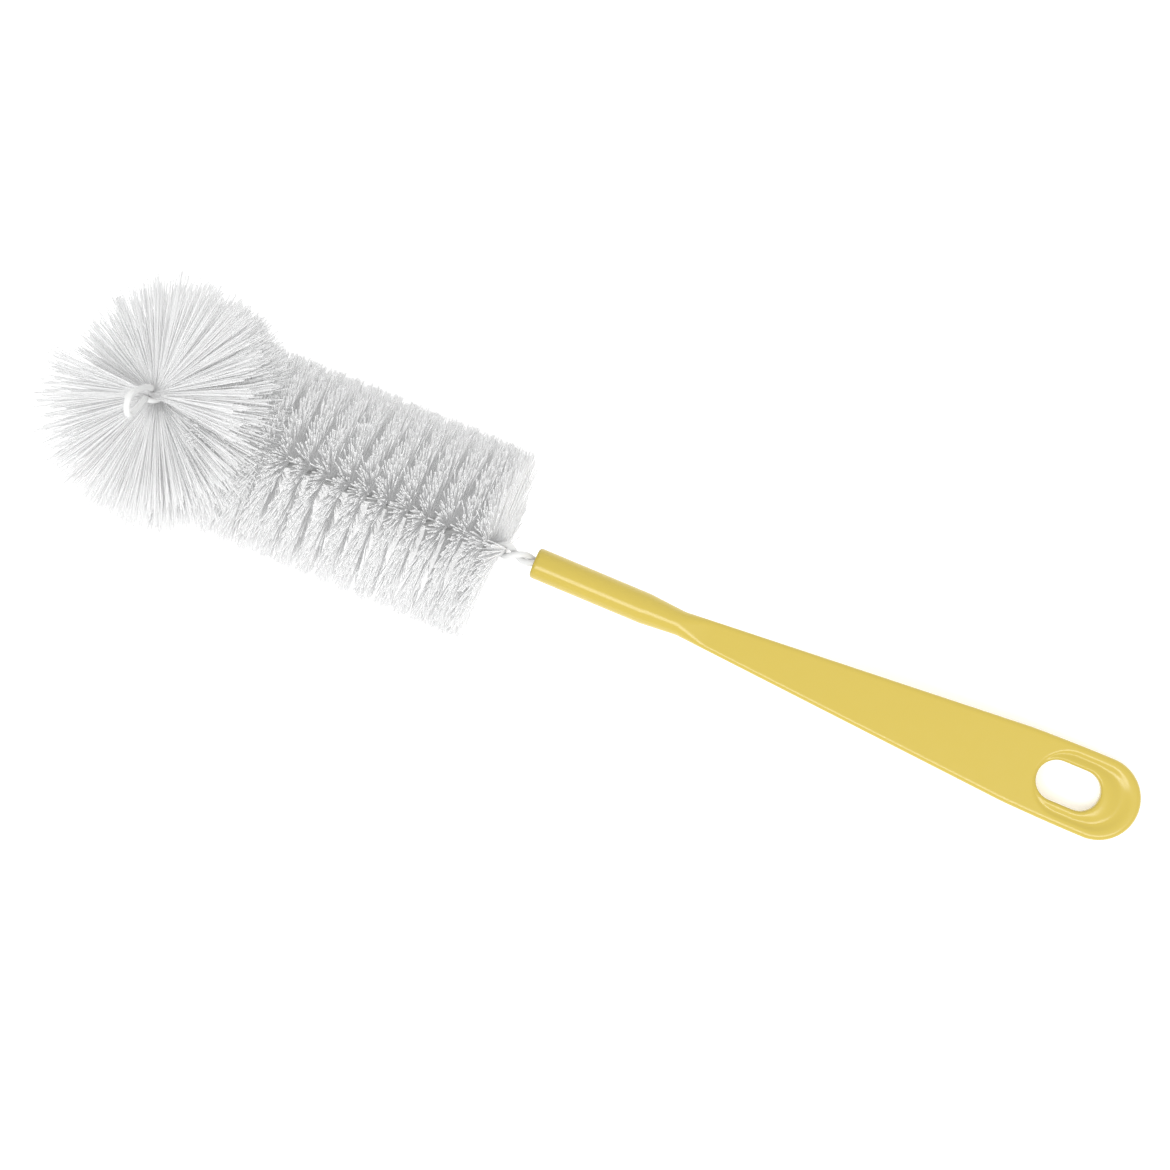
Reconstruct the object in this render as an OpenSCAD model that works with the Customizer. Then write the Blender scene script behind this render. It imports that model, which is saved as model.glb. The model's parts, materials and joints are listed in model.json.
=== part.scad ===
// Bottle brush: filaments held in a twisted, jacketed wire, bent up into a rosette at the tip, with the
// wire's stem set in a flat moulded handle that has a hanging slot.
// The brush lies on a surface as it is put down: on the rear rim of its bristles and its handle's end.

/* [Handle] */
// Whole length of the handle, from the mouth of its barrel to its hanging end
handle_len = 192; // [150:1:260]
// Outside diameter of the round barrel
barrel_d = 9.4; // [8.5:0.1:14]
// Length of the barrel before it narrows
barrel_len = 35.5; // [30:0.5:60]
// Rounding of the barrel's mouth
mouth_round = 1; // [0.3:0.1:1.5]
// Length of the cone from the barrel to the neck
taper_len = 11.5; // [6:0.5:20]
// Diameter of the neck
neck_d = 7.5; // [6.5:0.1:8.5]
// Length over which the round neck turns into the flat blade
scarf_len = 12; // [8:0.5:20]
// Width of the blade where the neck ends
blade_w = 9.3; // [8:0.1:14]
// Width of the blade at the hanging end, which is a half circle of this diameter
palm_w = 24.7; // [22:0.1:40]
// Thickness of the blade
blade_t = 5; // [4:0.1:7]
// Length over which the flanks ease into the round end
palm_ease_len = 26; // [10:1:40]
// Share of the widening that is left where that easing starts
palm_ease_share = 0.043; // [0.01:0.001:0.1]

/* [Hanging slot] */
// Slot from end to end
slot_len = 19.6; // [14:0.1:26]
// Slot across
slot_w = 12.1; // [8:0.1:13.5]
// Plastic between the slot and the end of the handle
slot_end_wall = 12.1; // [6:0.1:20]
// Width of the shallow dish around the slot
dish_w = 20.6; // [16:0.1:21.5]
// Plastic between the dish and the end of the handle
dish_end_wall = 2.4; // [1.5:0.1:5]
// How far the dish starts before the slot
dish_lead = 0.8; // [0.4:0.1:5]
// Depth of the dish
dish_depth = 0.8; // [0.2:0.1:1.5]

/* [Wire] */
// Steel wire inside the jacket
steel_d = 1.15; // [0.8:0.05:1.4]
// Wall of the jacket
jacket_t = 0.4; // [0.2:0.05:0.6]
// Gap that the filaments keep open between the two legs
tuft_gap = 1.4; // [1.1:0.05:2]
// Gap between the two legs where they hold no filaments
leg_gap = 0.12; // [0.1:0.01:0.3]
// Depth of the wire in the barrel
wire_insert = 30; // [15:0.5:35]
// Clearance all round the wire in its socket
socket_clear = 0.05; // [0.02:0.01:0.3]
// Air left at the bottom of the socket
socket_end_gap = 0.5; // [0.2:0.1:3]
// Bare wire between the barrel and the first filaments
stem_len = 9; // [6:0.5:40]
// Width of the eye at the fold, over the jacket
eye_w = 8.4; // [6:0.1:12]
// Length of the eye, from the last twist to the middle of its round end
eye_len = 9; // [2:0.5:12]
// Turn of the eye against the last row
eye_turn = 12; // [-90:1:90]

/* [Brush] */
// Diameter over the straight filaments
brush_d = 59.3; // [40:0.1:80]
// Length of the straight brush
brush_len = 95; // [60:1:140]
// Half turns of wire in the straight brush, each with its row of filaments
body_rows = 15; // [8:1:24]
// How far the first filaments lean in over the brush
stem_splay = 6; // [0:1:15]
// Radius of the bend
bend_r = 10; // [8:0.5:20]
// Angle of the bend
bend_angle = 65; // [45:1:85]
// How far the bend is rolled to the side of the handle's flat face
bend_roll = -4.8; // [-20:0.1:20]
// Half turns of wire round the bend
bend_rows = 2; // [1:1:4]
// Diameter over the longer filaments of the rosette
tip_d = 75; // [50:0.5:90]
// Length of wire that holds the rosette
tip_len = 19.5; // [12:0.5:40]
// Half turns of wire in the rosette
tip_rows = 3; // [2:1:6]
// How far the last filaments lean out past the fold
tip_splay = 6; // [0:1:25]
// Radius of the small hook that lays the eye over
hook_r = 4; // [3:0.5:10]
// Angle of that hook
hook_angle = 37; // [0:1:60]
// Side that the hook turns to, counted as the bend's roll is
hook_roll = 58; // [0:0.5:360]
// Thickness of a row at the wire
row_root_t = 0.8; // [0.5:0.05:1]
// Thickness of a row at its rim
row_rim_t = 1.8; // [1:0.1:3]
// Gap left between one row and the next, as an angle of twist
row_gap_angle = 5; // [2:1:15]

/* [Hidden] */
// Names, with a number of two digits
function numbered(name, count) = [for (i = [1:count]) str(name, i < 10 ? "_0" : "_", i)];
BODY_ROWS = numbered("body_row", body_rows);
BEND_ROWS = numbered("bend_row", bend_rows);
TIP_ROWS = numbered("tip_row", tip_rows);

YELLOW = [0.89, 0.80, 0.40];
STEEL = [0.62, 0.63, 0.65];
JACKET_WHITE = [0.96, 0.96, 0.95];
NYLON_WHITE = [0.90, 0.91, 0.91];

// Handle, worked out. Its own frame has the barrel's mouth at the origin and +X along the handle.
neck_x = barrel_len + taper_len;
blade_x = neck_x + scarf_len;
palm_r = palm_w / 2;
palm_x = handle_len - palm_r;
ease_x = palm_x - palm_ease_len;
ease_half_w = palm_r * (1 - palm_ease_share);
slot_r = slot_w / 2;
slot_x = handle_len - slot_end_wall - slot_len / 2;
dish_x0 = slot_x - slot_len / 2 - dish_lead;
dish_x1 = handle_len - dish_end_wall;

// Wire, worked out
wire_d = steel_d + 2 * jacket_t;
stem_leg_r = (wire_d + leg_gap) / 2;
brush_leg_r = (wire_d + tuft_gap) / 2;
eye_leg_r = (eye_w - wire_d) / 2;
socket_r = stem_leg_r + wire_d / 2 + socket_clear;
leg_ease = 4;
ring_step = 1.2;
wire_sides = 6;

// Stations along the core, counted from the wire's end in the socket
rows_s = wire_insert + stem_len;
bend_s = rows_s + brush_len;
bend_len = bend_r * bend_angle * PI / 180;
tip_s = bend_s + bend_len;
hook_s = tip_s + tip_len;
hook_len = hook_r * hook_angle * PI / 180;
eye_s = hook_s + hook_len;
fold_s = eye_s + eye_len;

// The core line: [length, bend radius or 0 if straight, side it bends to]
SEGMENTS = [
    [bend_s, 0, 0],
    [bend_len, bend_r, bend_roll],
    [tip_len, 0, 0],
    [hook_len, hook_r, hook_roll],
    [eye_len, 0, 0]
];
// A frame is [place, direction of travel, up, side]
CORE_START = [[wire_insert, 0, 0], [-1, 0, 0], [0, 0, 1], [0, 1, 0]];

function unit(v) = v / norm(v);
function turned(v, axis, a) = v * cos(a) + cross(axis, v) * sin(a) + axis * (axis * v) * (1 - cos(a));

// A frame carried the distance d along one segment
function carried(f, seg, d) =
    let (
        inward = f[2] * cos(seg[2]) - f[3] * sin(seg[2]),
        hinge = cross(f[1], inward),
        a = seg[1] == 0 ? 0 : d / seg[1] * 180 / PI,
        step = seg[1] == 0 ? d * f[1] : seg[1] * (sin(a) * f[1] + (1 - cos(a)) * inward)
    )
    [f[0] + step, turned(f[1], hinge, a), turned(f[2], hinge, a), turned(f[3], hinge, a)];

// The frame at station s of the core
function core_at(s, i = 0, f = CORE_START) =
    i == len(SEGMENTS) - 1 || s <= SEGMENTS[i][0]
        ? carried(f, SEGMENTS[i], s)
        : core_at(s - SEGMENTS[i][0], i + 1, carried(f, SEGMENTS[i], SEGMENTS[i][0]));

// Twist: the filaments stand upright at the first row, and turn left-handed by half a turn a row
body_turn = 180 * body_rows / brush_len;
bend_turn = 180 * bend_rows / bend_len;
tip_turn = 180 * tip_rows / tip_len;
function twist_at(s) =
    s < bend_s ? -body_turn * (s - rows_s)
    : s < tip_s ? -180 * body_rows - bend_turn * (s - bend_s)
    : s < hook_s ? -180 * (body_rows + bend_rows) - tip_turn * (s - tip_s)
    : -180 * (body_rows + bend_rows + tip_rows) + eye_turn * min(1, (s - hook_s) / hook_len);
function across(f, a) = f[2] * cos(a) + f[3] * sin(a);

// Distance of a leg from the core line
function eased(q) = let (c = min(1, max(0, q))) c * c * (3 - 2 * c);
function leg_r_at(s) =
    stem_leg_r + (brush_leg_r - stem_leg_r) * eased((s - rows_s + leg_ease) / leg_ease)
    + (eye_leg_r - brush_leg_r) * eased((s - hook_s) / (hook_len + eye_len));
function leg_point(s, side) =
    let (f = core_at(s)) f[0] + leg_r_at(s) * across(f, twist_at(s) + side * 90);

// The folded wire's middle line: up one leg, round the fold and down the other
leg_rings = ceil(fold_s / ring_step);
fold_rings = 6;
leg_line = [for (i = [0:leg_rings]) i * fold_s / leg_rings];
fold_frame = core_at(fold_s);
fold_side = across(fold_frame, twist_at(fold_s) + 90);
fold_line = [for (i = [1:fold_rings - 1]) let (a = 180 * i / fold_rings)
    fold_frame[0] + eye_leg_r * (cos(a) * fold_side + sin(a) * fold_frame[1])];
wire_line = concat(
    [for (s = leg_line) leg_point(s, 1)],
    fold_line,
    [for (i = [leg_rings:-1:0]) leg_point(leg_line[i], -1)]
);

// Rings along a line, each [centre, first axis, second axis], with no needless turn between them
function square_to(t, v) = unit(v - (v * t) * t);
function heading(line, i) = unit(line[min(i + 1, len(line) - 1)] - line[max(i - 1, 0)]);
function rings(line) = [
    for (i = 0, t = heading(line, 0), a = square_to(t, [0, 0, 1]); i < len(line);
         i = i + 1, t = heading(line, min(i, len(line) - 1)), a = square_to(t, a))
    [line[i], a, cross(t, a)]
];
wire_rings = rings(wire_line);
function ring_points(r, sides) = [
    for (ring = wire_rings, k = [0:sides - 1])
        ring[0] + r * (cos(360 * k / sides) * ring[1] + sin(360 * k / sides) * ring[2])
];

// Faces of a wall of rings, numbered from the point "first"; out is 1 for an outer wall, -1 for an inner one
function triangle(a, b, c, out) = out > 0 ? [a, b, c] : [c, b, a];
function wall_faces(count, sides, first, out) = [
    for (i = [0:count - 2], k = [0:sides - 1], half = [0, 1])
        let (
            k1 = (k + 1) % sides,
            a = first + i * sides + k,
            b = first + i * sides + k1,
            c = a + sides,
            d = b + sides
        )
        half == 0 ? triangle(a, c, b, out) : triangle(b, c, d, out)
];

// Filaments of one station: how far they reach in the direction a, and how far they lean along the core
body_r = brush_d / 2;
tip_r = tip_d / 2;
valley = 0.7 * bend_r;
valley_slope = 1 / tan(bend_angle / 2);
function free_r(s) = body_r + (tip_r - body_r) * eased((s - bend_s) / bend_len);
function inner_room(s) = valley + valley_slope * (s < bend_s ? bend_s - s : max(0, s - tip_s));
function reach(s, a) =
    let (inward = cos(a + bend_roll))
    inward > 0.01 ? min(free_r(s), inner_room(s) / inward) : free_r(s);
function lean(s) =
    s < bend_s
        ? stem_splay * (1 - eased((s - rows_s) / (2 * brush_len / body_rows)))
        : tip_splay * eased((s - (hook_s - tip_len / tip_rows)) / (tip_len / tip_rows));

// Section of a row at station s: a thin twisted bow tie that spans the filaments from rim to rim. Its
// thickness is square to the surface that the turning filaments sweep, so it stands between the legs and
// not across them.
ROW_STOPS = [-1, -0.5, 0, 0.5, 1];
row_root_r = brush_leg_r;
function turn_rate(s) = -(s < bend_s ? body_turn : s < tip_s ? bend_turn : tip_turn) * PI / 180;
function row_point(s, stop, face) =
    let (
        f = core_at(s),
        a = twist_at(s),
        at_rim = abs(stop) == 1,
        r = at_rim ? reach(s, a + (stop > 0 ? 0 : 180)) : 2 * abs(stop) * row_root_r,
        out = (stop < 0 ? -1 : 1) * across(f, a),
        along = out * cos(lean(s)) + f[1] * sin(lean(s)),
        normal = unit((stop < 0 ? -r : r) * turn_rate(s) * f[1] - across(f, a + 90))
    )
    f[0] + r * along + face * (at_rim ? row_rim_t : row_root_t) / 2 * normal;
function row_section(s) = concat(
    [for (stop = ROW_STOPS) row_point(s, stop, 1)],
    [for (i = [len(ROW_STOPS) - 1:-1:0]) row_point(s, ROW_STOPS[i], -1)]
);
row_steps = 12;
row_corners = 2 * len(ROW_STOPS);
function row_points(s0, s1) =
    let (gap = (s1 - s0) * row_gap_angle / 180 / 2)
    [for (i = [0:row_steps], p = row_section(s0 + gap + (s1 - s0 - 2 * gap) * i / row_steps)) p];
// The end of a row is a strip of squares from rim to rim; out is 1 at its start and -1 at its end
function row_end(first, out) = [
    for (i = [0:len(ROW_STOPS) - 2], half = [0, 1])
        let (a = first + i, b = first + row_corners - 1 - i)
        half == 0 ? triangle(a, a + 1, b, out) : triangle(a + 1, b - 1, b, out)
];

// Every row's start and end
function row_spans(s0, length, count) =
    [for (i = [0:count - 1]) [s0 + length * i / count, s0 + length * (i + 1) / count]];
BODY_SPANS = row_spans(rows_s, brush_len, body_rows);
BEND_SPANS = row_spans(bend_s, bend_len, bend_rows);
TIP_SPANS = row_spans(tip_s, tip_len, tip_rows);

// How the brush lies: pitched onto the bristles' rear rim and the handle's end, with the origin under the
// middle of its box
rest_x = -(stem_len + body_r * sin(stem_splay) - row_rim_t / 2);
pitch = atan((body_r * cos(stem_splay) - blade_t / 2) / (handle_len - rest_x));
function pitched(p) = [p[0] * cos(pitch) + p[2] * sin(pitch), p[1], p[2] * cos(pitch) - p[0] * sin(pitch)];
ROW_CLOUD = [
    for (span = concat(BODY_SPANS, BEND_SPANS, TIP_SPANS), p = row_points(span[0], span[1])) pitched(p)
];
low_x = min([for (p = ROW_CLOUD) p[0]]);
high_x = pitched([handle_len, 0, blade_t / 2])[0];
low_y = min([for (p = ROW_CLOUD) p[1]]);
high_y = max([for (p = ROW_CLOUD) p[1]]);
low_z = pitched([handle_len, 0, -blade_t / 2])[2];

module lying() {
    translate([-(low_x + high_x) / 2, -(low_y + high_y) / 2, -low_z])
        rotate([0, pitch, 0])
            children();
}

// Round about the X axis, from a profile of [x, radius]
module turned_about_x(profile) {
    rotate([0, 90, 0])
        rotate_extrude($fn = 64)
            polygon([for (p = profile) [p[1], p[0]]]);
}

round_steps = 6;
module barrel() {
    turned_about_x(concat(
        [[0, 0]],
        [for (i = [0:round_steps]) let (a = 90 * i / round_steps)
            [mouth_round * (1 - cos(a)), barrel_d / 2 - mouth_round * (1 - sin(a))]],
        [[barrel_len, barrel_d / 2], [neck_x, neck_d / 2], [neck_x, 0]]
    ));
}

// Round neck to flat blade: a hull between a thin slice of each, sunk into the parts they meet
slice = 0.01;
module scarf() {
    hull() {
        translate([neck_x - slice, 0, 0])
            rotate([0, 90, 0])
                cylinder(h = slice, d = neck_d, $fn = 32);
        translate([blade_x, 0, 0])
            cube([2 * slice, blade_w, blade_t], center = true);
    }
}

function flank(x) =
    let (q = (x - ease_x) / palm_ease_len)
    x < ease_x
        ? blade_w / 2 + (ease_half_w - blade_w / 2) * (x - blade_x) / (ease_x - blade_x)
        : palm_r - (palm_r - ease_half_w) * pow(1 - q, 2);
ease_steps = 6;
module blade_outline() {
    edge = concat([blade_x], [for (i = [0:ease_steps]) ease_x + palm_ease_len * i / ease_steps]);
    polygon(concat(
        [for (x = edge) [x, flank(x)]],
        [for (i = [len(edge) - 1:-1:0]) [edge[i], -flank(edge[i])]]
    ));
    translate([palm_x, 0])
        circle(r = palm_r, $fn = 96);
}

// A slot's outline from x0 to x1, with round ends
module round_ended(x0, x1, r, depth) {
    for (x = [x0 + r, x1 - r]) {
        translate([x, 0, 0])
            cylinder(h = depth, r = r, center = true, $fn = 64);
    }
    translate([(x0 + x1) / 2, 0, 0])
        cube([x1 - x0 - 2 * r, 2 * r, depth], center = true);
}

module handle() {
    color(YELLOW) lying() difference() {
        union() {
            barrel();
            scarf();
            linear_extrude(height = blade_t, center = true)
                blade_outline();
        }
        translate([-1, 0, 0])
            rotate([0, 90, 0])
                cylinder(h = wire_insert + socket_end_gap + 1, r = socket_r, $fn = 64);
        round_ended(slot_x - slot_len / 2, slot_x + slot_len / 2, slot_r, 2 * blade_t);
        translate([0, 0, blade_t / 2])
            round_ended(dish_x0, dish_x1, dish_w / 2, 2 * dish_depth);
    }
}

module wire_core() {
    count = len(wire_rings);
    last = (count - 1) * wire_sides;
    color(STEEL) lying() polyhedron(
        points = ring_points(steel_d / 2, wire_sides),
        faces = concat(
            wall_faces(count, wire_sides, 0, 1),
            [[for (k = [0:wire_sides - 1]) k]],
            [[for (k = [wire_sides - 1:-1:0]) last + k]]
        ),
        convexity = 20
    );
}

module wire_jacket() {
    count = len(wire_rings);
    sides = wire_sides;
    inner = count * sides;
    color(JACKET_WHITE) lying() polyhedron(
        points = concat(ring_points(wire_d / 2, sides), ring_points(steel_d / 2, sides)),
        faces = concat(
            wall_faces(count, sides, 0, 1),
            wall_faces(count, sides, inner, -1),
            [for (k = [0:sides - 1], half = [0, 1]) let (k1 = (k + 1) % sides)
                half == 0 ? [k, k1, inner + k] : [k1, inner + k1, inner + k]],
            [for (k = [0:sides - 1], half = [0, 1]) let (k1 = (k + 1) % sides, e = (count - 1) * sides)
                half == 0 ? [e + k, inner + e + k, e + k1] : [e + k1, inner + e + k, inner + e + k1]]
        ),
        convexity = 20
    );
}

module row(span) {
    color(NYLON_WHITE) lying() polyhedron(
        points = row_points(span[0], span[1]),
        faces = concat(
            wall_faces(row_steps + 1, row_corners, 0, 1),
            row_end(0, 1),
            row_end(row_steps * row_corners, -1)
        ),
        convexity = 10
    );
}

handle();
wire_core();
wire_jacket();
for (i = [0:body_rows - 1]) row(BODY_SPANS[i]);
for (i = [0:bend_rows - 1]) row(BEND_SPANS[i]);
for (i = [0:tip_rows - 1]) row(TIP_SPANS[i]);
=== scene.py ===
import json
import math

import bpy
import numpy as np
from mathutils import Matrix, Vector


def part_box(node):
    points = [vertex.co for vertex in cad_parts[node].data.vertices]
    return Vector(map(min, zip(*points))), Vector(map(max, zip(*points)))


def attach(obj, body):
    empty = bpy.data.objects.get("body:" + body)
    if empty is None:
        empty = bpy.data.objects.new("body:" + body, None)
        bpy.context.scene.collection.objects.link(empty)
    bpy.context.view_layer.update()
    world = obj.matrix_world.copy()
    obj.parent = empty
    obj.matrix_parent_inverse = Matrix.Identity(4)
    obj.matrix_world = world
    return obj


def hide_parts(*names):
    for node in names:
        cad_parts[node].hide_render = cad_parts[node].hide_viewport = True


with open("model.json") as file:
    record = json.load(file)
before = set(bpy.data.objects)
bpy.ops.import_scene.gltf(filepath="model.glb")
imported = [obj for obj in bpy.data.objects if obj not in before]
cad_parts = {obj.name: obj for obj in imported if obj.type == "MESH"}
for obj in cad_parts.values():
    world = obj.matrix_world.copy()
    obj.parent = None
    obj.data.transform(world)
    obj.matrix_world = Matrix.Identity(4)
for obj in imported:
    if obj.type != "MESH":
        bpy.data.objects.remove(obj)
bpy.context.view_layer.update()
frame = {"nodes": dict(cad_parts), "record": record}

# ---- How the brush lies --------------------------------------------------------------------------------
# The brush rests on the rear rim of its bristles and on the end of its handle, so it is pitched. Every
# piece is made in the handle's own frame, in millimetres: the barrel's mouth at zero, +X along the handle
# and +Z out of the face that shows. LYING takes it from there to where the frame has it.
HANDLE_LENGTH = 192.0
BLADE_THICKNESS = 5.0
MM = 0.001

back_of_handle = next(m for m in frame["record"]["mounts"] if m["name"] == "handle_back")["axis"]
pitch = math.atan2(-back_of_handle[0], -back_of_handle[2])
handle_low, handle_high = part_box("handle")
end_top = Matrix.Rotation(pitch, 3, "Y") @ Vector((HANDLE_LENGTH, 0, BLADE_THICKNESS / 2)) * MM
end_bottom = Matrix.Rotation(pitch, 3, "Y") @ Vector((HANDLE_LENGTH, 0, -BLADE_THICKNESS / 2)) * MM
mouth = Vector((
    handle_high.x - end_top.x,
    (handle_low.y + handle_high.y) / 2,
    handle_low.z - end_bottom.z,
))
LYING = Matrix.Translation(mouth) @ Matrix.Rotation(pitch, 4, "Y") @ Matrix.Scale(MM, 4)


# ---- Handle --------------------------------------------------------------------------------------------
# One moulding of yellow polypropylene: a round barrel over the end of the wire, a neck that is scooped
# down into a flat blade, and a round palm with a hanging slot in a shallow dish. It is worked out as a
# solid whose edges are all rounded, and its skin is a mesh of squares laid on that solid.
BARREL_RADIUS = 4.7
BARREL_LENGTH = 35.5
MOUTH_ROUNDING = 1.0
NECK_X = 47.0
NECK_RADIUS = 3.75
SCOOP_START = 44.0
SCOOP_END = 57.0
BLADE_EDGE_ROUNDING = 1.3
BLADE_X = 59.0
BLADE_HALF_WIDTH = 4.65
PALM_RADIUS = 12.35
PALM_X = HANDLE_LENGTH - PALM_RADIUS
PALM_EASE = 26.0
PALM_EASE_SHARE = 0.043
SLOT_RADIUS = 6.05
SLOT_LEFT = 160.3
SLOT_RIGHT = 179.9
SLOT_EDGE_ROUNDING = 1.0
DISH_RADIUS = 10.3
DISH_LEFT = 159.5
DISH_RIGHT = 189.6
DISH_DEPTH = 0.8
DISH_SLOPE = 0.13
DISH_SKEW = 1.6
LEAST_DISH_WIDTH = 0.1
SOCKET_RADIUS = 2.06
SOCKET_DEPTH = 30.5
SOCKET_EDGE_ROUNDING = 0.3
# Start, end and step of the mesh's stations: finer at the mouth, over the scoop and round the slot
STATIONS_ALONG = (
    (-0.7, 5.0, 0.36),
    (5.0, 42.0, 0.75),
    (42.0, 60.0, 0.5),
    (60.0, 156.0, 1.0),
    (156.0, 193.2, 0.42),
)
STATIONS_ACROSS = (-13.1, 13.3, 0.42)
STATIONS_THROUGH = (-5.2, 5.4, 0.4)
WARM_YELLOW = (0.490, 0.373, 0.058, 1)
DEEP_YELLOW = (0.478, 0.365, 0.059, 1)
HANDLE_ROUGHNESS = 0.15
HANDLE_ROUGHNESS_SPREAD = 0.1
POLYPROPYLENE_IOR = 1.49


def eased(value, start, end):
    """0 up to start, 1 from end on, and a smooth rise between them."""
    share = np.clip((value - start) / (end - start), 0, 1)
    return share * share * (3 - 2 * share)


def rounded_max(a, b, radius):
    """Inside both solids, with the edge where they meet rounded."""
    corner = np.hypot(np.maximum(a + radius, 0), np.maximum(b + radius, 0))
    return np.minimum(np.maximum(a, b), -radius) + corner


def round_ended(x, y, left, right, radius):
    """Distance from the outline of a slot with round ends."""
    return np.hypot(x - np.clip(x, left + radius, right - radius), y) - radius


def handle_solid(x, y, z):
    """Distance from the handle's surface, negative inside the plastic."""
    flat = eased(x, SCOOP_START, SCOOP_END)
    round_radius = np.interp(x, [BARREL_LENGTH, NECK_X], [BARREL_RADIUS, NECK_RADIUS])
    ease_x = PALM_X - PALM_EASE
    ease_half_width = PALM_RADIUS * (1 - PALM_EASE_SHARE)
    half_width = np.interp(x, [NECK_X, BLADE_X, ease_x], [NECK_RADIUS, BLADE_HALF_WIDTH, ease_half_width])
    to_palm = np.clip((x - ease_x) / PALM_EASE, 0, 1)
    half_width = half_width + PALM_RADIUS * PALM_EASE_SHARE * (1 - (1 - to_palm) ** 2)
    half_width = np.where(x < NECK_X, round_radius, half_width)
    half_height = (1 - flat) * round_radius + flat * BLADE_THICKNESS / 2
    rounding = (1 - flat) * round_radius + flat * BLADE_EDGE_ROUNDING

    slot = round_ended(x, y, SLOT_LEFT, SLOT_RIGHT, SLOT_RADIUS)
    dish = round_ended(x, y, DISH_LEFT, DISH_RIGHT, DISH_RADIUS)
    dish_width = np.maximum(slot - dish, LEAST_DISH_WIDTH)
    across_dish = np.clip(slot / dish_width, 0, 1) ** DISH_SKEW
    sink = np.minimum(DISH_DEPTH, DISH_SLOPE * dish_width) * np.sin(math.pi * across_dish) ** 2

    plan = np.where(x < PALM_X, np.abs(y) - half_width, np.hypot(x - PALM_X, y) - PALM_RADIUS)
    face = np.where(z > 0, z + sink, -z) - half_height
    body = rounded_max(plan, face, rounding)
    body = rounded_max(body, -x, MOUTH_ROUNDING)
    socket = np.maximum(np.hypot(y, z) - SOCKET_RADIUS, x - SOCKET_DEPTH)
    body = rounded_max(body, -socket, SOCKET_EDGE_ROUNDING)
    return rounded_max(body, -slot, SLOT_EDGE_ROUNDING)


def skin(name, solid, stations):
    """A closed mesh of squares on a solid, with one point for each cell that its surface crosses."""
    probe = 0.01
    passes = 4
    least_slope = 0.1

    # Where the surface crosses the grid's edges, added up for the cells round each edge
    grid = np.stack(np.meshgrid(*stations, indexing="ij"), -1)
    depth = solid(grid[..., 0], grid[..., 1], grid[..., 2])
    total = np.zeros([n - 1 for n in depth.shape] + [3])
    hits = np.zeros(total.shape[:3])
    crossings = []
    for axis in range(3):
        low = tuple(slice(0, -1) if i == axis else slice(None) for i in range(3))
        high = tuple(slice(1, None) if i == axis else slice(None) for i in range(3))
        crossed = (depth[low] < 0) != (depth[high] < 0)
        share = np.where(crossed, depth[low] / np.where(crossed, depth[low] - depth[high], 1), 0)
        point = grid[low] + share[..., None] * (grid[high] - grid[low])
        u, v = (axis + 1) % 3, (axis + 2) % 3
        for side in ((0, 0), (0, 1), (1, 0), (1, 1)):
            part = [slice(None)] * 3
            part[u] = slice(side[0], depth.shape[u] - 1 + side[0])
            part[v] = slice(side[1], depth.shape[v] - 1 + side[1])
            part = tuple(part)
            total += np.where(crossed[part][..., None], point[part], 0)
            hits += crossed[part]
        crossings.append((crossed, depth[low] < 0, u, v))

    # A cell's point starts at the mean of its crossings and is drawn onto the surface
    number = np.full(hits.shape, -1)
    number[hits > 0] = np.arange(np.count_nonzero(hits))
    points = total[hits > 0] / hits[hits > 0][:, None]
    for _ in range(passes):
        here = solid(*points.T)
        slope = np.stack([
            (solid(*(points + shift).T) - solid(*(points - shift).T)) / (2 * probe)
            for shift in np.eye(3) * probe
        ], -1)
        points = points - slope * (here / np.maximum((slope ** 2).sum(-1), least_slope))[:, None]

    # Each edge that crosses the surface is ringed by four cells, whose points make one square
    faces = []
    for crossed, inside_low, u, v in crossings:
        edge = np.argwhere(crossed)
        ring = []
        for du, dv in ((-1, -1), (0, -1), (0, 0), (-1, 0)):
            cell = edge.copy()
            cell[:, u] += du
            cell[:, v] += dv
            ring.append(number[tuple(cell.T)])
        ring = np.stack(ring, 1)
        turned_round = ~inside_low[tuple(edge.T)]
        ring[turned_round] = ring[turned_round][:, ::-1]
        faces.append(ring)
    mesh = bpy.data.meshes.new(name)
    mesh.from_pydata(points.tolist(), [], np.concatenate(faces).tolist())
    mesh.polygons.foreach_set("use_smooth", [True] * len(mesh.polygons))
    piece = bpy.data.objects.new(name, mesh)
    bpy.context.scene.collection.objects.link(piece)
    return piece


class Value:
    """A socket of a node tree. Arithmetic on it adds Math nodes."""

    def __init__(self, tree, socket):
        self.tree = tree
        self.socket = socket

    def maths(self, operation, *terms):
        return self.tree.node("ShaderNodeMath", {"operation": operation}, dict(enumerate(terms)))

    def __add__(self, other):
        return self.maths("ADD", self, other)

    __radd__ = __add__

    def __sub__(self, other):
        return self.maths("SUBTRACT", self, other)

    def __rsub__(self, other):
        return self.maths("SUBTRACT", other, self)

    def __mul__(self, other):
        return self.maths("MULTIPLY", self, other)

    __rmul__ = __mul__


class Tree:
    """A node tree in the making."""

    def __init__(self, group):
        self.group = group

    def node(self, kind, settings=None, sockets=None, output=0):
        """Adds a node with its settings, sets or links its sockets, and gives one of its outputs."""
        made = self.group.nodes.new(kind)
        for name, value in (settings or {}).items():
            setattr(made, name, value)
        for key, value in (sockets or {}).items():
            if isinstance(value, Value):
                self.group.links.new(value.socket, made.inputs[key])
            else:
                made.inputs[key].default_value = value
        return None if output is None else Value(self, made.outputs[output])


def finish_of(name):
    """A new material, its tree and its main shader."""
    material = bpy.data.materials.new(name)
    material.use_nodes = True
    tree = Tree(material.node_tree)
    return material, tree, material.node_tree.nodes["Principled BSDF"]


def feed(tree, shader, socket, value):
    """Links a value that varies over the surface to one of the shader's sockets."""
    tree.group.links.new(value.socket, shader.inputs[socket])


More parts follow.
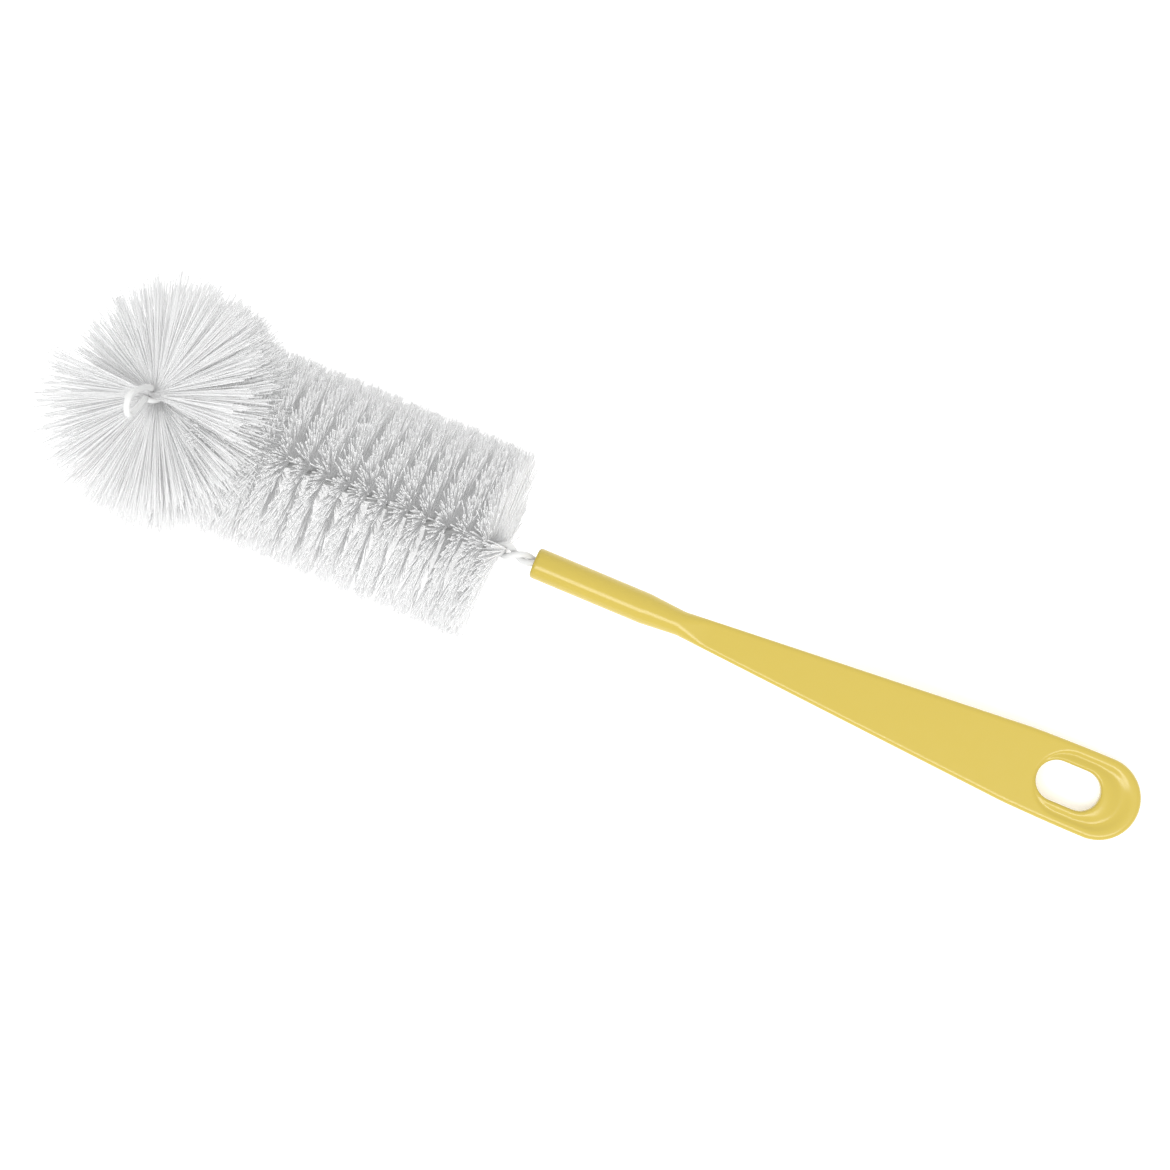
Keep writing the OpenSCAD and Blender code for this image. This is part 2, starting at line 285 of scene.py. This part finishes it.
def blend(tree, share, first, second):
    """A colour between two others."""
    # The node's colours are its sockets 6 and 7, and its colour result is output 2
    sockets = {"Factor": share, 6: first, 7: second}
    return tree.node("ShaderNodeMix", {"data_type": "RGBA"}, sockets, output=2)


yellow_plastic, tree, shader = finish_of("yellow_polypropylene")
where = tree.node("ShaderNodeTexCoord", output="Object")
cloud = tree.node("ShaderNodeTexNoise", {}, {"Vector": where, "Scale": 45.0, "Detail": 3.0})
handled = tree.node("ShaderNodeTexNoise", {}, {"Vector": where, "Scale": 260.0, "Detail": 4.0})
peel = tree.node("ShaderNodeTexNoise", {}, {"Vector": where, "Scale": 900.0, "Detail": 2.0})
feed(tree, shader, "Base Color", blend(tree, cloud, WARM_YELLOW, DEEP_YELLOW))
feed(tree, shader, "Roughness", HANDLE_ROUGHNESS + HANDLE_ROUGHNESS_SPREAD * handled)
bump = tree.node("ShaderNodeBump", {}, {"Strength": 0.03, "Distance": 0.0001, "Height": peel})
feed(tree, shader, "Normal", bump)
shader.inputs["IOR"].default_value = POLYPROPYLENE_IOR

handle = skin("Handle", handle_solid, (
    np.concatenate([np.arange(*span) for span in STATIONS_ALONG]),
    np.arange(*STATIONS_ACROSS),
    np.arange(*STATIONS_THROUGH),
))
handle.data.transform(LYING)
handle.data.materials.append(yellow_plastic)
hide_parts("handle")
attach(handle, "root")


# ---- Wire ----------------------------------------------------------------------------------------------
# One steel wire in a white plastic jacket, folded in half and twisted left-handed. It runs straight out
# of the barrel, turns up through a bend and ends at its fold, which a small hook lays over as an eye. The
# jacket is a tube swept along the wire, and the bare steel shows only at its two ends in the socket.
STEEL_DIAMETER = 1.15
JACKET_WALL = 0.4
WIRE_DIAMETER = STEEL_DIAMETER + 2 * JACKET_WALL
TUFT_GAP = 1.4
LEG_GAP = 0.12
SOCKET_END_GAP = 0.5
WIRE_INSERT = SOCKET_DEPTH - SOCKET_END_GAP
STEM_LENGTH = 9.0
EYE_WIDTH = 8.4
EYE_LENGTH = 9.0
EYE_TURN = 12.0
BRUSH_LENGTH = 95.0
BODY_ROWS = 15
BEND_RADIUS = 10.0
BEND_ANGLE = 65.0
BEND_ROLL = -4.8
BEND_ROWS = 2
TIP_LENGTH = 19.5
TIP_ROWS = 3
HOOK_RADIUS = 4.0
HOOK_ANGLE = 37.0
HOOK_ROLL = 58.0
LEG_EASE = 4.0
WIRE_STEP = 0.5
FOLD_POINTS = 16
JACKET_SIDES = 14
COAT_WHITE = (0.70, 0.70, 0.695, 1)
COAT_SHADE = (0.66, 0.665, 0.66, 1)
COAT_ROUGHNESS = 0.28
COAT_ROUGHNESS_SPREAD = 0.14
ZINC_LIGHT = (0.60, 0.61, 0.63, 1)
ZINC_DARK = (0.48, 0.49, 0.50, 1)
ZINC_ROUGHNESS = 0.3
ZINC_ROUGHNESS_SPREAD = 0.2

rows_s = WIRE_INSERT + STEM_LENGTH
bend_s = rows_s + BRUSH_LENGTH
bend_length = BEND_RADIUS * math.radians(BEND_ANGLE)
tip_s = bend_s + bend_length
hook_s = tip_s + TIP_LENGTH
hook_length = HOOK_RADIUS * math.radians(HOOK_ANGLE)
fold_s = hook_s + hook_length + EYE_LENGTH
CORE_LINE = [
    (bend_s, 0, 0),
    (bend_length, BEND_RADIUS, BEND_ROLL),
    (TIP_LENGTH, 0, 0),
    (hook_length, HOOK_RADIUS, HOOK_ROLL),
    (EYE_LENGTH, 0, 0),
]


def core_at(s):
    """Place, direction of travel, up and side of the core line, at a distance from the wire's end."""
    place = Vector((WIRE_INSERT, 0, 0))
    axes = [Vector((-1, 0, 0)), Vector((0, 0, 1)), Vector((0, 1, 0))]
    for i, (length, radius, roll) in enumerate(CORE_LINE):
        part = s if i == len(CORE_LINE) - 1 else min(s, length)
        travel, up, side = axes
        if radius:
            inward = up * math.cos(math.radians(roll)) - side * math.sin(math.radians(roll))
            angle = part / radius
            place = place + radius * (math.sin(angle) * travel + (1 - math.cos(angle)) * inward)
            turn = Matrix.Rotation(angle, 3, travel.cross(inward))
            axes = [turn @ axis for axis in axes]
        else:
            place = place + part * travel
        s -= part
        if s <= 0:
            break
    return (place, *axes)


def twist_at(s):
    """Angle that the filaments stand at, in degrees."""
    body = np.clip((s - rows_s) / BRUSH_LENGTH, -1, 1) * BODY_ROWS
    bend = np.clip((s - bend_s) / bend_length, 0, 1) * BEND_ROWS
    tip = np.clip((s - tip_s) / TIP_LENGTH, 0, 1) * TIP_ROWS
    hook = np.clip((s - hook_s) / hook_length, 0, 1)
    return -180 * (body + bend + tip) + EYE_TURN * hook


def across(s, angle):
    """The direction square to the core line at an angle from up, in degrees."""
    _, _, up, side = core_at(s)
    return up * math.cos(math.radians(angle)) + side * math.sin(math.radians(angle))


def leg_point(s, side):
    """The middle of one of the wire's two legs."""
    in_stem = (WIRE_DIAMETER + LEG_GAP) / 2
    in_brush = (WIRE_DIAMETER + TUFT_GAP) / 2
    in_eye = (EYE_WIDTH - WIRE_DIAMETER) / 2
    away = (
        in_stem
        + (in_brush - in_stem) * eased(s, rows_s - LEG_EASE, rows_s)
        + (in_eye - in_brush) * eased(s, hook_s, fold_s)
    )
    return core_at(s)[0] + float(away) * across(s, twist_at(s) + side * 90)


def polyline(name, points):
    """A mesh of points joined in a line."""
    mesh = bpy.data.meshes.new(name)
    mesh.from_pydata([tuple(p) for p in points], [(i, i + 1) for i in range(len(points) - 1)], [])
    piece = bpy.data.objects.new(name, mesh)
    bpy.context.scene.collection.objects.link(piece)
    return piece


def grown(piece, group, sizes):
    """Runs a Geometry Nodes tree on the piece with its sizes, and leaves the result as a plain mesh."""
    modifier = piece.modifiers.new("make", "NODES")
    modifier.node_group = group
    for item in group.interface.items_tree:
        if item.in_out == "INPUT" and item.name in sizes:
            modifier[item.identifier] = sizes[item.name]
    graph = bpy.context.evaluated_depsgraph_get()
    mesh = bpy.data.meshes.new_from_object(piece.evaluated_get(graph))
    if mesh.materials[0] is None:
        mesh.materials.pop(index=0)
    piece.modifiers.clear()
    piece.data = mesh
    return piece


def new_group(name, inputs):
    """A new Geometry Nodes tree, and its inputs by name."""
    group = bpy.data.node_groups.new(name, "GeometryNodeTree")
    group.interface.new_socket("Geometry", in_out="INPUT", socket_type="NodeSocketGeometry")
    for label, kind in inputs.items():
        group.interface.new_socket(label, in_out="INPUT", socket_type="NodeSocket" + kind)
    group.interface.new_socket("Geometry", in_out="OUTPUT", socket_type="NodeSocketGeometry")
    tree = Tree(group)
    entry = group.nodes.new("NodeGroupInput")
    given = {socket.name: Value(tree, socket) for socket in entry.outputs if socket.name}
    return tree, given


def end_tree(tree, geometry, material):
    """Ends a tree in plain smooth geometry with its material."""
    plain = tree.node("GeometryNodeRealizeInstances", {}, {0: geometry})
    smooth = tree.node("GeometryNodeSetShadeSmooth", {}, {0: plain})
    coated = tree.node("GeometryNodeSetMaterial", {}, {"Geometry": smooth, "Material": material})
    tree.node("NodeGroupOutput", {}, {0: coated}, output=None)


tree, given = new_group("jacket_tube", {
    "Jacket radius": "Float",
    "Sides": "Int",
    "Material": "Material",
})
line = tree.node("GeometryNodeMeshToCurve", {}, {0: given["Geometry"]})
ring = tree.node("GeometryNodeCurvePrimitiveCircle", {}, {
    "Resolution": given["Sides"],
    "Radius": given["Jacket radius"],
})
tube = tree.node("GeometryNodeCurveToMesh", {}, {0: line, 1: ring, "Fill Caps": False})
end_tree(tree, tube, given["Material"])
jacket_group = tree.group

white_jacket, tree, shader = finish_of("white_wire_coat")
where = tree.node("ShaderNodeTexCoord", output="Object")
cloud = tree.node("ShaderNodeTexNoise", {}, {"Vector": where, "Scale": 120.0, "Detail": 3.0})
fine = tree.node("ShaderNodeTexNoise", {}, {"Vector": where, "Scale": 1400.0, "Detail": 2.0})
feed(tree, shader, "Base Color", blend(tree, cloud, COAT_WHITE, COAT_SHADE))
feed(tree, shader, "Roughness", COAT_ROUGHNESS + COAT_ROUGHNESS_SPREAD * fine)
bump = tree.node("ShaderNodeBump", {}, {"Strength": 0.1, "Distance": 0.0001, "Height": fine})
feed(tree, shader, "Normal", bump)

galvanised, tree, shader = finish_of("galvanised_steel")
where = tree.node("ShaderNodeTexCoord", output="Object")
grain = tree.node("ShaderNodeTexNoise", {}, {"Vector": where, "Scale": 2500.0, "Detail": 2.0})
feed(tree, shader, "Base Color", blend(tree, grain, ZINC_LIGHT, ZINC_DARK))
feed(tree, shader, "Roughness", ZINC_ROUGHNESS + ZINC_ROUGHNESS_SPREAD * grain)
shader.inputs["Metallic"].default_value = 1.0

stations = np.linspace(0, fold_s, int(fold_s / WIRE_STEP) + 1).tolist()
fold_place, fold_travel, _, _ = core_at(fold_s)
fold_side = across(fold_s, twist_at(fold_s) + 90)
fold_radius = (EYE_WIDTH - WIRE_DIAMETER) / 2
fold_line = [
    fold_place + fold_radius * (math.cos(angle) * fold_side + math.sin(angle) * fold_travel)
    for angle in np.linspace(0, math.pi, FOLD_POINTS)[1:-1].tolist()
]
wire_line = (
    [leg_point(s, 1) for s in stations]
    + fold_line
    + [leg_point(s, -1) for s in stations[::-1]]
)
jacket = grown(polyline("Wire_jacket", wire_line), jacket_group, {
    "Jacket radius": WIRE_DIAMETER / 2,
    "Sides": JACKET_SIDES,
    "Material": white_jacket,
})
wall = jacket.modifiers.new("wall", "SOLIDIFY")
wall.thickness = JACKET_WALL
wall.offset = -1
graph = bpy.context.evaluated_depsgraph_get()
tube_mesh = bpy.data.meshes.new_from_object(jacket.evaluated_get(graph))
jacket.modifiers.clear()
jacket.data = tube_mesh
jacket.data.transform(LYING)
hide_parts("wire_jacket")
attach(jacket, "root")

frame["nodes"]["wire_core"].material_slots[0].material = galvanised


# ---- Straight brush ------------------------------------------------------------------------------------
# White nylon filaments, cut to length, laid across the wire before it is twisted and pinched between its
# legs. Each half turn of the wire spreads one row of them into a fan that stands out on both sides. They
# lean and wave a little, and lie together in small tufts. The brush is trimmed to a cylinder afterwards.
BRUSH_DIAMETER = 59.3
TIP_DIAMETER = 75.0
STEM_SPLAY = 6.0
TIP_SPLAY = 6.0
FILAMENT_DIAMETER = 0.34
# A filament is a rod of three sides, whose corners stand this share of its thickness from its middle
ROD_SIDES = 3
ROD_SEGMENTS = 4
ROD_CORNER_SHARE = 0.6
GUIDE_POINTS = 40
SEED_STEP = 100
NOISE_MEAN = (0.5, 0.5, 0.5)
NOISE_STRIDE = 7.3
BODY_FILAMENTS = 560
MILKY_WHITE = (0.95, 0.952, 0.954, 1)
CLEAR_WHITE = (0.985, 0.985, 0.985, 1)
END_WHITE = (0.92, 0.92, 0.92, 1)
END_SHARE = 0.3
NYLON_ROUGHNESS = 0.32
NYLON_ROUGHNESS_SPREAD = 0.16
NYLON_IOR = 1.5
NYLON_THROUGH = 0.6
# Painted glow: the filaments give off a little light of their own, standing in for light that real
# filaments pass on from one to the next, more often than a ray is followed here
NYLON_PAINTED_GLOW = 0.14

tree, given = new_group("bristle_row", {
    "Filaments": "Int",
    "Filament radius": "Float",
    "Gap": "Float",
    "Lean": "Float",
    "Tuft lean": "Float",
    "Tuft scale": "Float",
    "Wave": "Float",
    "Uneven ends": "Float",
    "Seed": "Int",
    "Material": "Material",
})


def stored(tree, name, kind="FLOAT"):
    """An attribute that the guide line or a filament carries."""
    return tree.node("GeometryNodeInputNamedAttribute", {"data_type": kind}, {"Name": name})


def keep(tree, geometry, name, value, kind, domain):
    """Stores a value on the geometry as an attribute."""
    settings = {"data_type": kind, "domain": domain}
    sockets = {0: geometry, "Name": name, "Value": value}
    return tree.node("GeometryNodeStoreNamedAttribute", settings, sockets)


def vectors(tree, operation, first, second):
    """Vector arithmetic."""
    output = 1 if operation == "DOT_PRODUCT" else 0
    sockets = {0: first, 1: second} if operation != "SCALE" else {0: first, "Scale": second}
    return tree.node("ShaderNodeVectorMath", {"operation": operation}, sockets, output)


def random_between(tree, low, high, seed):
    """A random number for each point."""
    sockets = {2: low, 3: high, "Seed": seed}
    return tree.node("FunctionNodeRandomValue", {"data_type": "FLOAT"}, sockets, output=1)


guide = tree.node("GeometryNodeMeshToCurve", {}, {0: given["Geometry"]})
guide = tree.node("GeometryNodeResampleCurve", {}, {0: guide, "Count": given["Filaments"]})
out = stored(tree, "out", "FLOAT_VECTOR")
travel = stored(tree, "travel", "FLOAT_VECTOR")
edgeways = vectors(tree, "CROSS_PRODUCT", out, travel)
aside = random_between(tree, -1.0, 1.0, given["Seed"] + 1) * given["Gap"]
aside = vectors(tree, "SCALE", edgeways, aside)
roots = tree.node("GeometryNodeSetPosition", {}, {0: guide, "Offset": aside})

rod = tree.node("GeometryNodeMeshCylinder", {"fill_type": "NGON"}, {
    "Vertices": ROD_SIDES,
    "Side Segments": ROD_SEGMENTS,
    "Radius": given["Filament radius"],
    "Depth": 1.0,
})
rod = tree.node("GeometryNodeTransform", {}, {0: rod, "Translation": (0.0, 0.0, 0.5)})
height = tree.node("ShaderNodeSeparateXYZ", {}, {0: tree.node("GeometryNodeInputPosition")}, "Z")
rod = keep(tree, rod, "share", height, "FLOAT", "POINT")

halves = tree.group.nodes.new("GeometryNodeJoinGeometry")
for side, first_seed in ((1.0, 10), (-1.0, 20)):
    seed = given["Seed"] + first_seed
    place = tree.node("GeometryNodeInputPosition")
    tuft = tree.node("ShaderNodeTexNoise", {"noise_dimensions": "4D"}, {
        "Vector": place,
        "W": seed * NOISE_STRIDE,
        "Scale": given["Tuft scale"],
        "Detail": 1.0,
    }, "Color")
    tuft = vectors(tree, "SUBTRACT", tuft, NOISE_MEAN)
    tuft = vectors(tree, "SCALE", tuft, given["Tuft lean"])
    # Three even draws added up lie close to a bell curve
    stray = (
        random_between(tree, -1.0, 1.0, seed + 1)
        + random_between(tree, -1.0, 1.0, seed + 2)
        + random_between(tree, -1.0, 1.0, seed + 3)
    )
    tilt = stored(tree, "lean") + stray * given["Lean"]
    roll = random_between(tree, -1.0, 1.0, seed + 4) * given["Lean"]
    way = vectors(tree, "SCALE", out, side)
    way = vectors(tree, "ADD", way, vectors(tree, "SCALE", travel, tilt))
    way = vectors(tree, "ADD", way, vectors(tree, "SCALE", edgeways, roll))
    way = vectors(tree, "ADD", way, tuft)
    turn = tree.node("FunctionNodeAxesToRotation", {"primary_axis": "Z", "secondary_axis": "X"}, {
        "Primary Axis": way,
        "Secondary Axis": travel,
    })
    shortened = random_between(tree, 0.0, 1.0, seed + 5) * given["Uneven ends"]
    length = stored(tree, "reach") * (1.0 - shortened)
    size = tree.node("ShaderNodeCombineXYZ", {}, {"X": 1.0, "Y": 1.0, "Z": length})
    half = tree.node("GeometryNodeInstanceOnPoints", {}, {
        "Points": roots,
        "Instance": rod,
        "Rotation": turn,
        "Scale": size,
    })
    bow = tree.node("FunctionNodeRandomValue", {"data_type": "FLOAT_VECTOR"}, {
        0: (-1.0, -1.0, -1.0),
        1: (1.0, 1.0, 1.0),
        "Seed": seed + 6,
    })
    bow = vectors(tree, "SCALE", bow, given["Wave"])
    half = keep(tree, half, "bow", bow, "FLOAT_VECTOR", "INSTANCE")
    half = keep(tree, half, "tint", random_between(tree, 0.0, 1.0, seed + 7), "FLOAT", "INSTANCE")
    tree.group.links.new(half.socket, halves.inputs[0])
row = tree.node("GeometryNodeRealizeInstances", {}, {0: Value(tree, halves.outputs[0])})
share = stored(tree, "share")
row = tree.node("GeometryNodeSetPosition", {}, {
    0: row,
    "Offset": vectors(tree, "SCALE", stored(tree, "bow", "FLOAT_VECTOR"), share * share),
})
end_tree(tree, row, given["Material"])
bristle_group = tree.group

nylon, tree, shader = finish_of("milky_nylon")
tint = tree.node("ShaderNodeAttribute", {"attribute_name": "tint"}, output="Fac")
share = tree.node("ShaderNodeAttribute", {"attribute_name": "share"}, output="Fac")
colour = blend(tree, tint, MILKY_WHITE, CLEAR_WHITE)
colour = blend(tree, share * END_SHARE, colour, END_WHITE)
feed(tree, shader, "Base Color", colour)
feed(tree, shader, "Roughness", NYLON_ROUGHNESS + NYLON_ROUGHNESS_SPREAD * tint)
shader.inputs["IOR"].default_value = NYLON_IOR
# Painted glow: the nylon gives off a little white light of its own, which lifts its shaded parts
shader.inputs["Emission Color"].default_value = (1, 1, 1, 1)
shader.inputs["Emission Strength"].default_value = NYLON_PAINTED_GLOW
through = tree.node("ShaderNodeBsdfTranslucent", {}, {"Color": colour}, output="BSDF")
mixed = tree.node("ShaderNodeMixShader", {}, {
    "Fac": NYLON_THROUGH,
    1: Value(tree, shader.outputs["BSDF"]),
    2: through,
})
tree.group.links.new(mixed.socket, tree.group.nodes["Material Output"].inputs["Surface"])


def trimmed_radius(s):
    """Reach of a filament from the core line."""
    return BRUSH_DIAMETER / 2 + (TIP_DIAMETER - BRUSH_DIAMETER) / 2 * eased(s, bend_s, tip_s)


def lean_at(s):
    """Lean along the core line for each millimetre of reach: inward at the stem, outward past the fold."""
    at_stem = STEM_SPLAY * (1 - eased(s, rows_s, rows_s + 2 * BRUSH_LENGTH / BODY_ROWS))
    at_tip = TIP_SPLAY * eased(s, hook_s - TIP_LENGTH / TIP_ROWS, hook_s)
    return math.tan(math.radians(at_stem + at_tip))


def bristle_row(name, node, start, end, sizes):
    """The filaments of one half turn of wire, between two stations of the core line."""
    line = np.linspace(start, end, GUIDE_POINTS).tolist()
    frames = [core_at(s) for s in line]
    piece = polyline(name, [f[0] for f in frames])
    columns = {
        "out": [across(s, twist_at(s)) for s in line],
        "travel": [f[1] for f in frames],
        "reach": [trimmed_radius(s) for s in line],
        "lean": [lean_at(s) for s in line],
    }
    for label, column in columns.items():
        vector = label in ("out", "travel")
        attribute = piece.data.attributes.new(label, "FLOAT_VECTOR" if vector else "FLOAT", "POINT")
        attribute.data.foreach_set("vector" if vector else "value", np.array(column, float).ravel())
    grown(piece, bristle_group, {
        "Filament radius": FILAMENT_DIAMETER * ROD_CORNER_SHARE,
        "Gap": (TUFT_GAP - FILAMENT_DIAMETER) / 2,
        "Material": nylon,
        **sizes,
    })
    piece.data.transform(LYING)
    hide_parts(node)
    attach(piece, "root")


def bristle_rows(name, node, start, length, rows, first_seed, sizes):
    """A stretch of the brush, one row after the other."""
    for i in range(rows):
        row_start = start + length * i / rows
        row_end = start + length * (i + 1) / rows
        row_sizes = {**sizes, "Seed": first_seed + SEED_STEP * (i + 1)}
        bristle_row(f"{name}_{i + 1:02d}", f"{node}_{i + 1:02d}", row_start, row_end, row_sizes)


bristle_rows("Brush_row", "body_row", rows_s, BRUSH_LENGTH, BODY_ROWS, 0, {
    "Filaments": BODY_FILAMENTS,
    "Lean": 0.041,
    "Tuft lean": 0.06,
    "Tuft scale": 3.0,
    "Wave": 1.0,
    "Uneven ends": 0.03,
})


# ---- Bend ----------------------------------------------------------------------------------------------
# The same filaments where the wire turns up. On the inside of the bend they run into one another and
# interleave, and on the outside they open like a fan. They grow from the brush's length to the tip's.
BEND_FILAMENTS = 620
BEND_SEED = 5000

bristle_rows("Bend_row", "bend_row", bend_s, bend_length, BEND_ROWS, BEND_SEED, {
    "Filaments": BEND_FILAMENTS,
    "Lean": 0.05,
    "Tuft lean": 0.14,
    "Tuft scale": 3.0,
    "Wave": 1.2,
    "Uneven ends": 0.04,
})


# ---- Rosette -------------------------------------------------------------------------------------------
# Longer filaments at the tip, below the eye, twisted in as the others are and trimmed round. They lie in
# smaller tufts that lean more, and the last ones splay out past the fold.
TIP_FILAMENTS = 400
TIP_SEED = 9000

bristle_rows("Tip_row", "tip_row", tip_s, TIP_LENGTH, TIP_ROWS, TIP_SEED, {
    "Filaments": TIP_FILAMENTS,
    "Lean": 0.05,
    "Tuft lean": 0.34,
    "Tuft scale": 8.0,
    "Wave": 1.5,
    "Uneven ends": 0.10,
})


# ---- Floor, light and camera ---------------------------------------------------------------------------
# A white table, soft light all round and a large soft box over the near side. The camera stands a little
# toward the handle's end and looks down on the handle's face, with the brush to the left and the handle
# running down to the right. Places, sizes and distances are in millimetres in the handle's frame.
FLOOR_SIZE = 6000.0
TABLE_WHITE = (0.9, 0.9, 0.9, 1)
TABLE_ROUGHNESS = 0.9
TABLE_GLOW = 0.3
ROOM_LIGHT = 1.1
KEY_PLACE = (120, -440, 1000)
KEY_TARGET = (20, 0, 0)
KEY_WIDTH = 1000
KEY_HEIGHT = 380
KEY_WATTS = 6.5
CAMERA_DISTANCE = 1000.0
CAMERA_TILT = 3.0
PICTURE_WIDTH = 346.3
PICTURE_CENTRE_X = 16.4
PICTURE_CENTRE_Y = -0.45
HANDLE_SLOPE = 22.7
SENSOR = 36.0

floor_mesh = bpy.data.meshes.new("Floor")
half = FLOOR_SIZE * MM / 2
floor_corners = [(-half, -half, 0), (half, -half, 0), (half, half, 0), (-half, half, 0)]
floor_mesh.from_pydata(floor_corners, [], [(0, 1, 2, 3)])
floor = bpy.data.objects.new("Floor", floor_mesh)
bpy.context.scene.collection.objects.link(floor)
pale, tree, shader = finish_of("pale_table")
shader.inputs["Base Color"].default_value = TABLE_WHITE
shader.inputs["Roughness"].default_value = TABLE_ROUGHNESS
shader.inputs["Emission Color"].default_value = (1, 1, 1, 1)
shader.inputs["Emission Strength"].default_value = TABLE_GLOW
floor.data.materials.append(pale)

world = bpy.data.worlds.new("studio")
world.use_nodes = True
world.node_tree.nodes["Background"].inputs["Color"].default_value = (1, 1, 1, 1)
world.node_tree.nodes["Background"].inputs["Strength"].default_value = ROOM_LIGHT
bpy.context.scene.world = world


def soft_box(name, place, target, width, height, power):
    """A rectangular area light, placed and aimed in the handle's frame, in millimetres."""
    light = bpy.data.lights.new(name, "AREA")
    light.shape = "RECTANGLE"
    light.size = width * MM
    light.size_y = height * MM
    light.energy = power
    lamp = bpy.data.objects.new(name, light)
    bpy.context.scene.collection.objects.link(lamp)
    start = LYING @ Vector(place)
    aim = LYING @ Vector(target)
    facing = (aim - start).to_track_quat("-Z", "Y").to_matrix().to_4x4()
    lamp.matrix_world = Matrix.Translation(start) @ facing


soft_box("Key", KEY_PLACE, KEY_TARGET, KEY_WIDTH, KEY_HEIGHT, KEY_WATTS)

camera_data = bpy.data.cameras.new("Camera")
camera_data.sensor_width = SENSOR
camera_data.lens = SENSOR * CAMERA_DISTANCE / PICTURE_WIDTH
camera = bpy.data.objects.new("Camera", camera_data)
bpy.context.scene.collection.objects.link(camera)
tilted = Matrix.Rotation(math.radians(CAMERA_TILT), 4, "Y")
middle = Vector((PICTURE_CENTRE_X, PICTURE_CENTRE_Y, 0))
camera_place = middle + tilted @ Vector((0, 0, CAMERA_DISTANCE))
camera.matrix_world = (
    Matrix.Translation(LYING @ camera_place)
    @ Matrix.Rotation(pitch, 4, "Y")
    @ tilted
    @ Matrix.Rotation(math.radians(HANDLE_SLOPE), 4, "Z")
)
bpy.context.scene.camera = camera
bpy.context.scene.view_settings.view_transform = "Standard"
